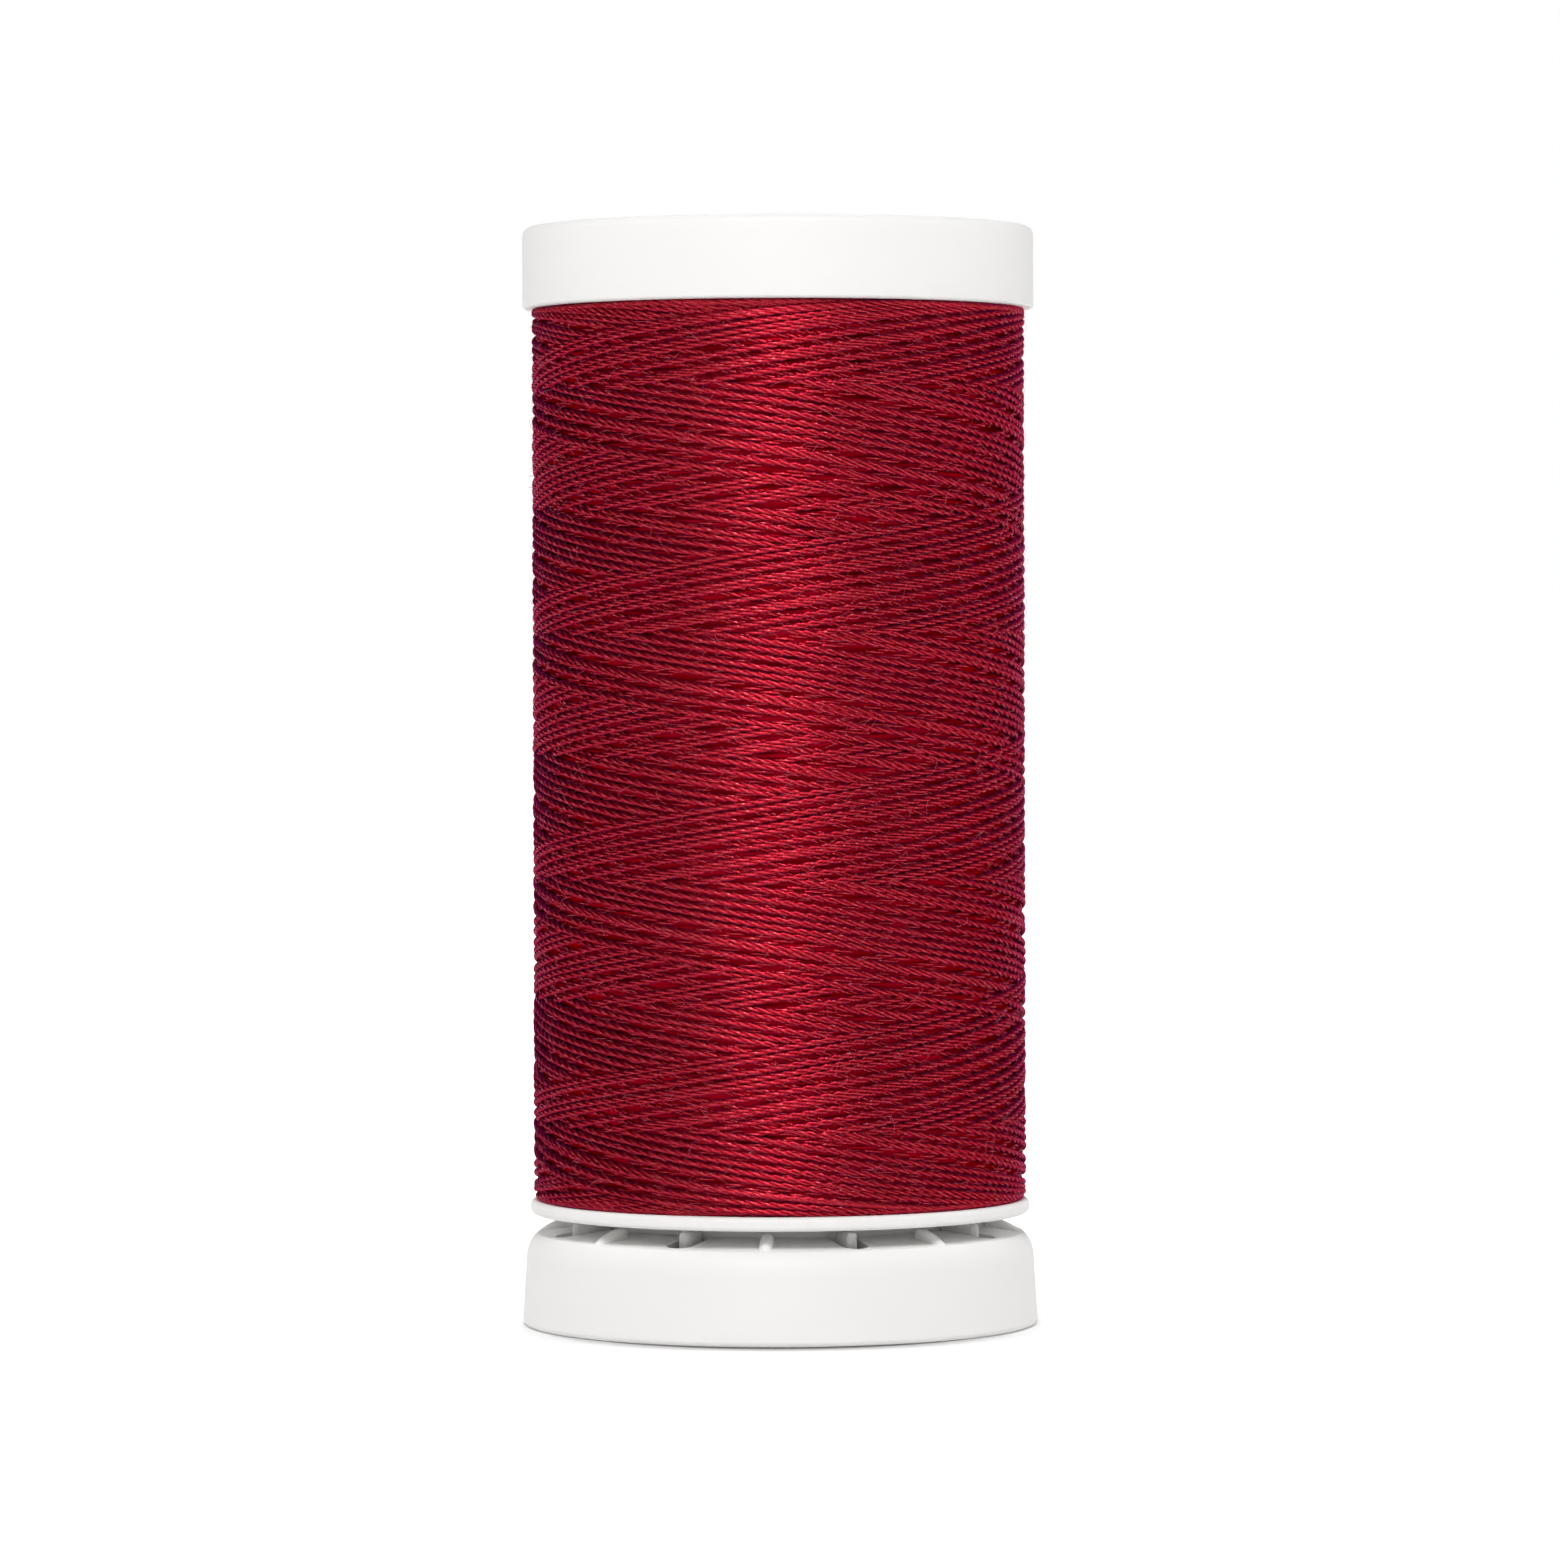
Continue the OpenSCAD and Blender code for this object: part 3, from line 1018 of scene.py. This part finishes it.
def eased(part: np.ndarray) -> np.ndarray:
    """A share from 0 to 1 that starts and ends gently."""
    return part * part * (3 - 2 * part)


@dataclass(frozen=True)
class Wander:
    """A smooth wander along the strand: turns from one draw to the next, and its size."""

    length: float
    size: float

    def along(self, random: np.random.Generator, turns: np.ndarray) -> np.ndarray:
        """Draws the wander.

        Args:
            random: the source of the draws.
            turns: where it is wanted.

        Returns:
            The wander in millimetres.
        """
        draws = random.normal(0.0, self.size, int(turns[-1] / self.length) + 3)
        place = turns / self.length
        low = place.astype(int)
        part = eased(place - low)
        return draws[low] * (1 - part) + draws[low + 1] * part


@dataclass
class WoundThread:
    """The thread: one strand that climbs and descends the package, over the layers below.

    The winder lays each new strand beside the last one, so the newest strands lie over the oldest
    ones, and the surface shows diamonds in which the climbing or the descending strands lie on top.
    Half a ply is an angle in radians, and the guide's error is a share of the strands' spacing.
    """

    at: Heights
    radius: float = 15.32
    strand: float = 0.43
    valley: float = 0.5
    ply_half: float = 0.46
    twist: float = 2.5
    rings_per_twist: int = 10
    pitch: float = 15.05
    cycles: int = 27
    stroke_turns: int = 4
    newest_height: float = 14.3
    layer: float = 0.22
    cover: float = 0.35
    shoulder: float = 0.7
    top_shoulder: float = 0.25
    shoulder_fall: float = 0.7
    seed: int = 11
    error: float = 0.34
    sway: Wander = Wander(0.11, 0.035)
    tremor: Wander = Wander(0.027, 0.012)
    lift: Wander = Wander(0.05, 0.02)
    pieces: int = 9

    def _strokes(self) -> tuple[float, float, float]:
        """Where straight strokes would turn, above the upper and below the lower flange.

        Returns:
            The upper height, the lower height and the turns of the spool in a stroke.
        """
        run = self.pitch * (self.stroke_turns - 0.5 / self.cycles)
        past = (run - (self.at.winding_high - self.at.winding_low)) / 2
        upper, lower = self.at.winding_high + past, self.at.winding_low - past
        return upper, lower, (upper - lower) / self.pitch

    def _height(self, turns: np.ndarray, shift: np.ndarray) -> np.ndarray:
        """Height of the strand after a number of turns, rounded where the stroke turns.

        Args:
            turns: turns of the spool since the first stroke began.
            shift: sideways error of the guide, in millimetres.

        Returns:
            The heights in millimetres.
        """
        upper, lower, stroke = self._strokes()
        from_top = np.abs((turns / stroke + 1) % 2 - 1) * stroke
        past = upper - self.at.winding_high
        bend = 2 * past / self.pitch
        near_top = np.clip(1 - (stroke - from_top) / bend, 0, 1)
        near_low = np.clip(1 - from_top / bend, 0, 1)
        height = lower + self.pitch * from_top - past * near_top**2 + past * near_low**2
        inset = self.strand / 2
        height = np.clip(height, self.at.winding_low + inset, self.at.winding_high - inset)
        return height + shift * (1 - np.maximum(near_top, near_low) ** 2)

    def route(self) -> np.ndarray:
        """The strand's centre line.

        Returns:
            Its points in metres, evenly spaced along it.
        """
        random = np.random.default_rng(self.seed)
        lower, stroke = self._strokes()[1:]
        step = self.twist / self.rings_per_twist
        step /= math.hypot(2 * math.pi * self.radius, self.pitch)
        turns = np.arange(0.0, 2 * stroke * self.cycles, step)
        spacing = self.pitch / self.cycles
        errors = random.uniform(-self.error, self.error, 2 * self.cycles) * spacing
        index = np.clip((turns / stroke).astype(int), 0, 2 * self.cycles - 1)
        shift = errors[index] + self.sway.along(random, turns) + self.tremor.along(random, turns)
        height = self._height(turns, shift)
        below = 1 - self._on_top(turns, height, index, errors)
        radius = self.radius - self.strand / 2 - self.layer * below
        radius += self.lift.along(random, turns)
        for reach, depth in ((height - self.at.winding_low, self.shoulder),
                             (self.at.winding_high - height, self.top_shoulder)):
            into = np.clip(1 - reach / depth, 0, 1)
            radius -= depth * (1 - np.sqrt(1 - into**2)) * self.shoulder_fall
        newest = 0.5 - (self.newest_height - lower) / self.pitch
        angle = 2 * math.pi * (turns + newest + (self.cycles - 1) / self.cycles)
        return np.stack([radius * np.cos(angle), radius * np.sin(angle), height], 1) * MM

    def _on_top(self, turns: np.ndarray, height: np.ndarray, index: np.ndarray,
                errors: np.ndarray) -> np.ndarray:
        """How far the strand lies over what it crosses: 1 on top, 0 beneath.

        Args:
            turns: turns since the start.
            height: the strand's heights.
            index: the stroke that each point belongs to.
            errors: the sideways error of each stroke.

        Returns:
            The share for each point.
        """
        n, spacing = self.cycles, self.pitch / self.cycles
        lower, stroke = self._strokes()[1:]
        cycle = index // 2
        climbs = index % 2 == 0
        newest_up = lower + self.pitch * (turns - 2 * stroke * (n - 1))
        newest_down = lower - self.pitch * (turns - 2 * stroke * n)
        share = np.zeros_like(turns)
        for up in (True, False):
            mine = climbs == up
            if up:
                gap = (height[mine] - newest_down[mine]) % self.pitch
                places = spacing * np.arange(n) + errors[1::2][::-1]
            else:
                gap = (newest_up[mine] - height[mine]) % self.pitch
                places = spacing * np.arange(n) - errors[0::2][::-1]
            knots = np.concatenate([[places[-1] - self.pitch], places, [places[0] + self.pitch]])
            where = np.interp(gap, knots, np.arange(-1, n + 1))
            low = np.floor(where)
            part = eased(where - low)
            strand = cycle[mine]
            over = []
            for k in (low, low + 1):
                other = (n - 1 - k) % n
                over.append((strand > other) if up else (strand >= other))
            share[mine] = over[0] * (1 - part) + over[1] * part
        return share

    def _section(self) -> Piece:
        """The strand's section.

        Returns:
            A closed curve round the plies.
        """
        curve = bpy.data.curves.new("ply_section", "CURVE")
        curve.dimensions = "2D"
        spline = curve.splines.new("POLY")
        spline.points.add(CORNERS - 1)
        places = (0.0, math.pi / PLIES - self.ply_half, math.pi / PLIES + self.ply_half)
        for k, point in enumerate(spline.points):
            r = self.strand / 2 * MM * (1.0 if k % PLY_CORNERS else self.valley)
            turn = 2 * math.pi * (k // PLY_CORNERS) / PLIES + places[k % PLY_CORNERS]
            point.co = (r * math.cos(turn), r * math.sin(turn), 0.0, 1.0)
        spline.use_cyclic_u = True
        return linked("ply_section", curve)

    def _tube(self, name: str, points: np.ndarray, first: int, section: Piece) -> Piece:
        """A stretch of the twisted strand.

        Args:
            name: the piece's name.
            points: its centre line.
            first: place of its first point on the whole strand, which sets the twist there.
            section: the strand's section.

        Returns:
            The piece.
        """
        curve = bpy.data.curves.new(name, "CURVE")
        curve.dimensions = "3D"
        curve.twist_mode = "Z_UP"
        curve.bevel_mode = "OBJECT"
        curve.bevel_object = section
        curve.use_fill_caps = True
        spline = curve.splines.new("POLY")
        spline.points.add(len(points) - 1)
        spline.points.foreach_set("co", np.insert(points, 3, 1.0, 1).ravel())
        tilt = 2 * math.pi * (np.arange(len(points)) + first) / self.rings_per_twist
        spline.points.foreach_set("tilt", tilt)
        mesh = swept(curve)
        self._dress(mesh, first)
        return linked(name, mesh)

    def _dress(self, mesh: bpy.types.Mesh, first: int) -> None:
        """Smooths a stretch but for the valleys between its plies, and unrolls it for its finish.

        Args:
            mesh: the stretch, whose vertices follow each other round the section, then along it.
            first: place of its first ring on the whole strand.
        """
        mesh.shade_smooth()
        ends = np.empty(2 * len(mesh.edges), int)
        mesh.edges.foreach_get("vertices", ends)
        ends = ends.reshape(-1, 2)
        along = np.abs(ends[:, 0] - ends[:, 1]) == CORNERS
        valley = along & (ends.min(1) % PLY_CORNERS == 0)
        mesh.attributes.new("sharp_edge", "BOOLEAN", "EDGE").data.foreach_set("value", valley)
        vertex = np.empty(len(mesh.loops), int)
        mesh.loops.foreach_get("vertex_index", vertex)
        start, total = np.empty(len(mesh.polygons), int), np.empty(len(mesh.polygons), int)
        mesh.polygons.foreach_get("loop_start", start)
        mesh.polygons.foreach_get("loop_total", total)
        sides = start[total == 4][:, None] + np.arange(4)
        turn = vertex % CORNERS
        closing = (turn[sides] == CORNERS - 1).any(1)[:, None] & (turn[sides] == 0)
        turn[sides[closing]] = CORNERS
        length = (vertex // CORNERS + first) * self.twist / self.rings_per_twist
        unrolled = np.stack([turn / CORNERS, length], 1).ravel()
        mesh.uv_layers["UVMap"].uv.foreach_set("vector", unrolled)

    def build(self, thread: Material, below: Material) -> None:
        """Makes and dresses the layers below and the strand over them.

        Args:
            thread: the strand's finish.
            below: the finish of the layers below.
        """
        at = self.at
        inner, under = at.tube_r + at.lay_gap, self.radius - self.cover
        low, high = at.winding_low + at.lay_gap, at.winding_high - at.lay_gap
        corners = [(inner, low), (under, low, self.shoulder), (under, high, FINE), (inner, high)]
        layers = new_piece("thread_under_layers", turned(rounded(corners), steps=128))
        finished(layers, below, Slot.THREAD, Body.SPOOL, "thread_package")
        route = self.route()
        section = self._section()
        cuts = np.linspace(0, len(route) - 1, self.pieces + 1).astype(int)
        for k, (first, last) in enumerate(zip(cuts, cuts[1:])):
            name = f"thread_winding_{k + 1}"
            piece = self._tube(name, route[first:last + 1], int(first), section)
            finished(piece, thread, Slot.THREAD, Body.SPOOL, "thread_outer_turns")
        bpy.data.objects.remove(section)
        log.info("thread: %.2f m", np.linalg.norm(np.diff(route, axis=0), axis=1).sum())


@dataclass
class LooseFibres:
    """Ends of staple fibres that stand off the thread, as fine arcs.

    The wander of their headings is in radians, and the least rise and arch are shares.
    """

    at: Heights
    count: int = 2600
    radius: float = 15.24
    thickness: float = 0.014
    shortest: float = 0.3
    longest: float = 1.3
    rise: float = 0.3
    least_rise: float = 0.2
    least_arch: float = 0.5
    wander: float = 0.35
    steps: int = 4
    seed: int = 5

    def _lines(self) -> np.ndarray:
        """The fibres' centre lines.

        Returns:
            Points in metres, by fibre and along the fibre.
        """
        random = np.random.default_rng(self.seed)
        count = (self.count, 1)
        part = np.linspace(0.0, 1.0, self.steps + 1)
        length = random.uniform(self.shortest, self.longest, count)
        heading = random.normal(0.0, self.wander, count) + np.pi * random.integers(0, 2, count)
        curl = random.normal(0.0, self.wander, count)
        away = random.uniform(self.least_rise, 1.0, count) * self.rise
        start = random.uniform(0.0, 2 * np.pi, count)
        margin = self.longest / 2
        low = random.uniform(self.at.winding_low + margin, self.at.winding_high - margin, count)
        course = heading + curl * part
        arch = np.sin(np.pi * part * random.uniform(self.least_arch, 1.0, count))
        radius = self.radius + away * arch
        turn = start + length * part * np.cos(course) / self.radius
        height = low + length * part * np.sin(course)
        return np.stack([radius * np.cos(turn), radius * np.sin(turn), height], 2) * MM

    def build(self, finish: Material) -> None:
        """Makes and dresses the fibres.

        Args:
            finish: their finish.
        """
        curve = bpy.data.curves.new("thread_fuzz", "CURVE")
        curve.dimensions = "3D"
        curve.bevel_depth = self.thickness / 2 * MM
        curve.bevel_resolution = 0
        for line in self._lines():
            spline = curve.splines.new("POLY")
            spline.points.add(len(line) - 1)
            spline.points.foreach_set("co", np.insert(line, 3, 1.0, 1).ravel())
        piece = linked(curve.name, swept(curve))
        finished(piece, finish, Slot.THREAD, Body.SPOOL)


# -------- studio
# Distances are in metres, and angles in degrees.


@dataclass(frozen=True)
class Lamp:
    """A square lamp that faces the spool: its place, its side and its watts."""

    name: str
    turn: float
    lift: float
    distance: float
    size: float
    power: float
    glossy: bool = True

    def build(self, aim: Vector) -> None:
        """Hangs the lamp.

        Args:
            aim: the point that it faces.
        """
        data = bpy.data.lights.new(self.name, "AREA")
        data.size = self.size
        data.energy = self.power
        lamp = linked(self.name, data)
        turn, lift = math.radians(self.turn), math.radians(self.lift)
        away = Vector((math.sin(turn) * math.cos(lift), -math.cos(turn) * math.cos(lift),
                       math.sin(lift)))
        lamp.location = aim + away * self.distance
        lamp.rotation_euler = (-away).to_track_quat("-Z", "Y").to_euler()
        lamp.visible_glossy = self.glossy


@dataclass
class Studio:
    """Floor, lamps, world and camera."""

    distance: float = 0.443
    eye_height: float = 0.0429
    focal_px: float = 7116.0
    horizon_px: float = 633.3
    axis_px: float = 778.7
    roll: float = 0.15
    floor_r: float = 12.0
    floor_colour: Colour = (0.9, 0.9, 0.9, 1.0)
    floor_roughness: float = 0.9
    floor_lifts: Stops = ((0.016, 0.15), (0.02, 0.4), (0.03, 0.55), (0.4, 1.0))
    # A shadow painted on the floor round the foot's base: its colour, its centre, and the distances
    # and shares over which it fades out.
    painted_shadow_colour: Colour = (0.2, 0.195, 0.195, 1.0)
    painted_shadow_centre: Triple = (0.0, -0.003, 0.0)
    painted_shadow_stops: Stops = ((0.0132, 0.0), (0.0142, 0.5), (0.0155, 0.8), (0.0175, 1.0))
    horizon_level: float = 1.0
    ceiling_level: float = 0.06
    ambient: float = 0.15
    band_top: float = 0.12
    band_end: float = 0.2
    aim: Triple = (0.0, 0.0, 0.035)
    lamps: tuple[Lamp, ...] = (
        Lamp("key", -2.0, 44.0, 0.9, 0.3, 5.7),
        Lamp("front", -5.0, 24.0, 0.9, 0.6, 0.7, False),
        Lamp("rear", 180.0, 50.0, 0.9, 0.4, 1.2),
        Lamp("fill_left", -110.0, 25.0, 0.9, 0.5, 2.7, False),
        Lamp("fill_right", 110.0, 25.0, 0.9, 0.5, 2.9, False),
    )

    def camera(self) -> None:
        """Sets the camera, level and upright, with the shift that the framing needs."""
        data = bpy.data.cameras.new("camera")
        data.sensor_fit = "HORIZONTAL"
        data.sensor_width = 36.0
        data.lens = self.focal_px / IMAGE_W * data.sensor_width
        data.shift_y = (self.horizon_px - IMAGE_H / 2) / IMAGE_W
        data.clip_start, data.clip_end = 0.01, 20.0
        camera = linked("camera", data)
        aside = (IMAGE_W / 2 - self.axis_px) / self.focal_px * self.distance
        camera.location = (aside, -self.distance, self.eye_height)
        camera.rotation_euler = (math.pi / 2, math.radians(self.roll), 0.0)
        bpy.context.scene.camera = camera

    @staticmethod
    def _rays(n: Nodes) -> tuple[Value, Value]:
        """Tells the rays that see the studio from the others.

        Args:
            n: the tree of the floor or the world.

        Returns:
            1 for rays from the camera, and 1 for those that a piece reflects or lets through.
        """
        camera = n.add("ShaderNodeLightPath", {}, {}, "Is Camera Ray")
        outputs = camera.socket.node.outputs
        mirrored = Value(n, outputs["Is Glossy Ray"]) + Value(n, outputs["Is Transmission Ray"])
        return camera, mirrored.clamped()

    @staticmethod
    def _by_distance(s: Shader, away: Value, stops: Stops) -> Value:
        """A level that changes with a distance.

        Args:
            s: the floor's shader.
            away: the distance.
            stops: distances and the levels there.

        Returns:
            The level.
        """
        reach = stops[-1][0]
        shares = [(place / reach, level) for place, level in stops]
        inputs = {"Fac": away * (1.0 / reach)}
        return s.add("ShaderNodeValToRGB", {"stops": shares}, inputs, "Color")

    def floor(self) -> None:
        """Makes the white floor, which keeps the spool's shadow and fades into the background, and
        has a shadow painted round the foot's base that only the camera and reflections see.
        """
        form = bmesh.new()
        bmesh.ops.create_circle(form, cap_ends=True, segments=64, radius=self.floor_r)
        floor = new_piece("floor", form)
        s = Shader("floor_white")
        away = s.vector("LENGTH", s.position, output="Value")
        from_painted_shadow = s.vector("DISTANCE", s.position, self.painted_shadow_centre, output="Value")
        clear = self._by_distance(s, from_painted_shadow, self.painted_shadow_stops)
        camera, mirrored = self._rays(s)
        seen = (camera + mirrored).clamped()
        # Painted shadow round the foot, seen only by the camera and in reflections; the floor's
        # lift is held back there too.
        share = (clear + (1.0 - seen)).clamped()
        s.set(Base_Color=s.blend(share, self.painted_shadow_colour, self.floor_colour),
              Roughness=self.floor_roughness, Specular_IOR_Level=0.0)
        level = seen * clear * self._by_distance(s, away, self.floor_lifts)
        lift = s.add("ShaderNodeEmission", {}, {"Strength": level})
        both = s.add("ShaderNodeAddShader", {}, {0: s.surface.outputs[0], 1: lift})
        s.feed(s.nodes["Material Output"].inputs["Surface"], both)
        floor.data.materials.append(s.material)

    def world(self) -> None:
        """Sets the soft white surroundings, plain white where they are seen."""
        world = bpy.data.worlds.new("studio")
        bpy.context.scene.world = world
        world.use_nodes = True
        n = Nodes(world.node_tree)
        direction = n.add("ShaderNodeTexCoord", {}, {}, "Generated")
        rise = n.add("ShaderNodeSeparateXYZ", {}, {0: direction}, "Z")
        stops = [(self.band_top, self.horizon_level), (self.band_end, self.ceiling_level)]
        level = n.add("ShaderNodeValToRGB", {"stops": stops}, {"Fac": rise}, "Color")
        camera, mirrored = self._rays(n)
        unseen = (1.0 - (camera + mirrored)).clamped()
        strength = camera * self.horizon_level + mirrored * level + unseen * self.ambient
        background = n.nodes["Background"].inputs
        n.feed(background["Color"], (1.0, 1.0, 1.0, 1.0))
        n.feed(background["Strength"], strength)

    def build(self) -> None:
        """Sets up the whole studio."""
        self.camera()
        self.floor()
        self.world()
        for lamp in self.lamps:
            lamp.build(Vector(self.aim))
        bpy.context.scene.view_settings.view_transform = "Standard"


def main() -> None:
    """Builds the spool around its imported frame."""
    logging.basicConfig(level=logging.INFO, format="%(name)s: %(message)s", stream=sys.stdout)
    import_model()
    Studio().build()
    at = Heights()
    plastic = MouldedPlastic().build()
    thread = TwistedThread().build()
    TopCap(at).build(plastic)
    SpoolCore(at).build(plastic)
    LockFoot(at).build(plastic)
    WoundThread(at).build(thread, LayersBelow().build())
    LooseFibres(at).build(FibreEnds().build())


if __name__ == "__main__":
    main()
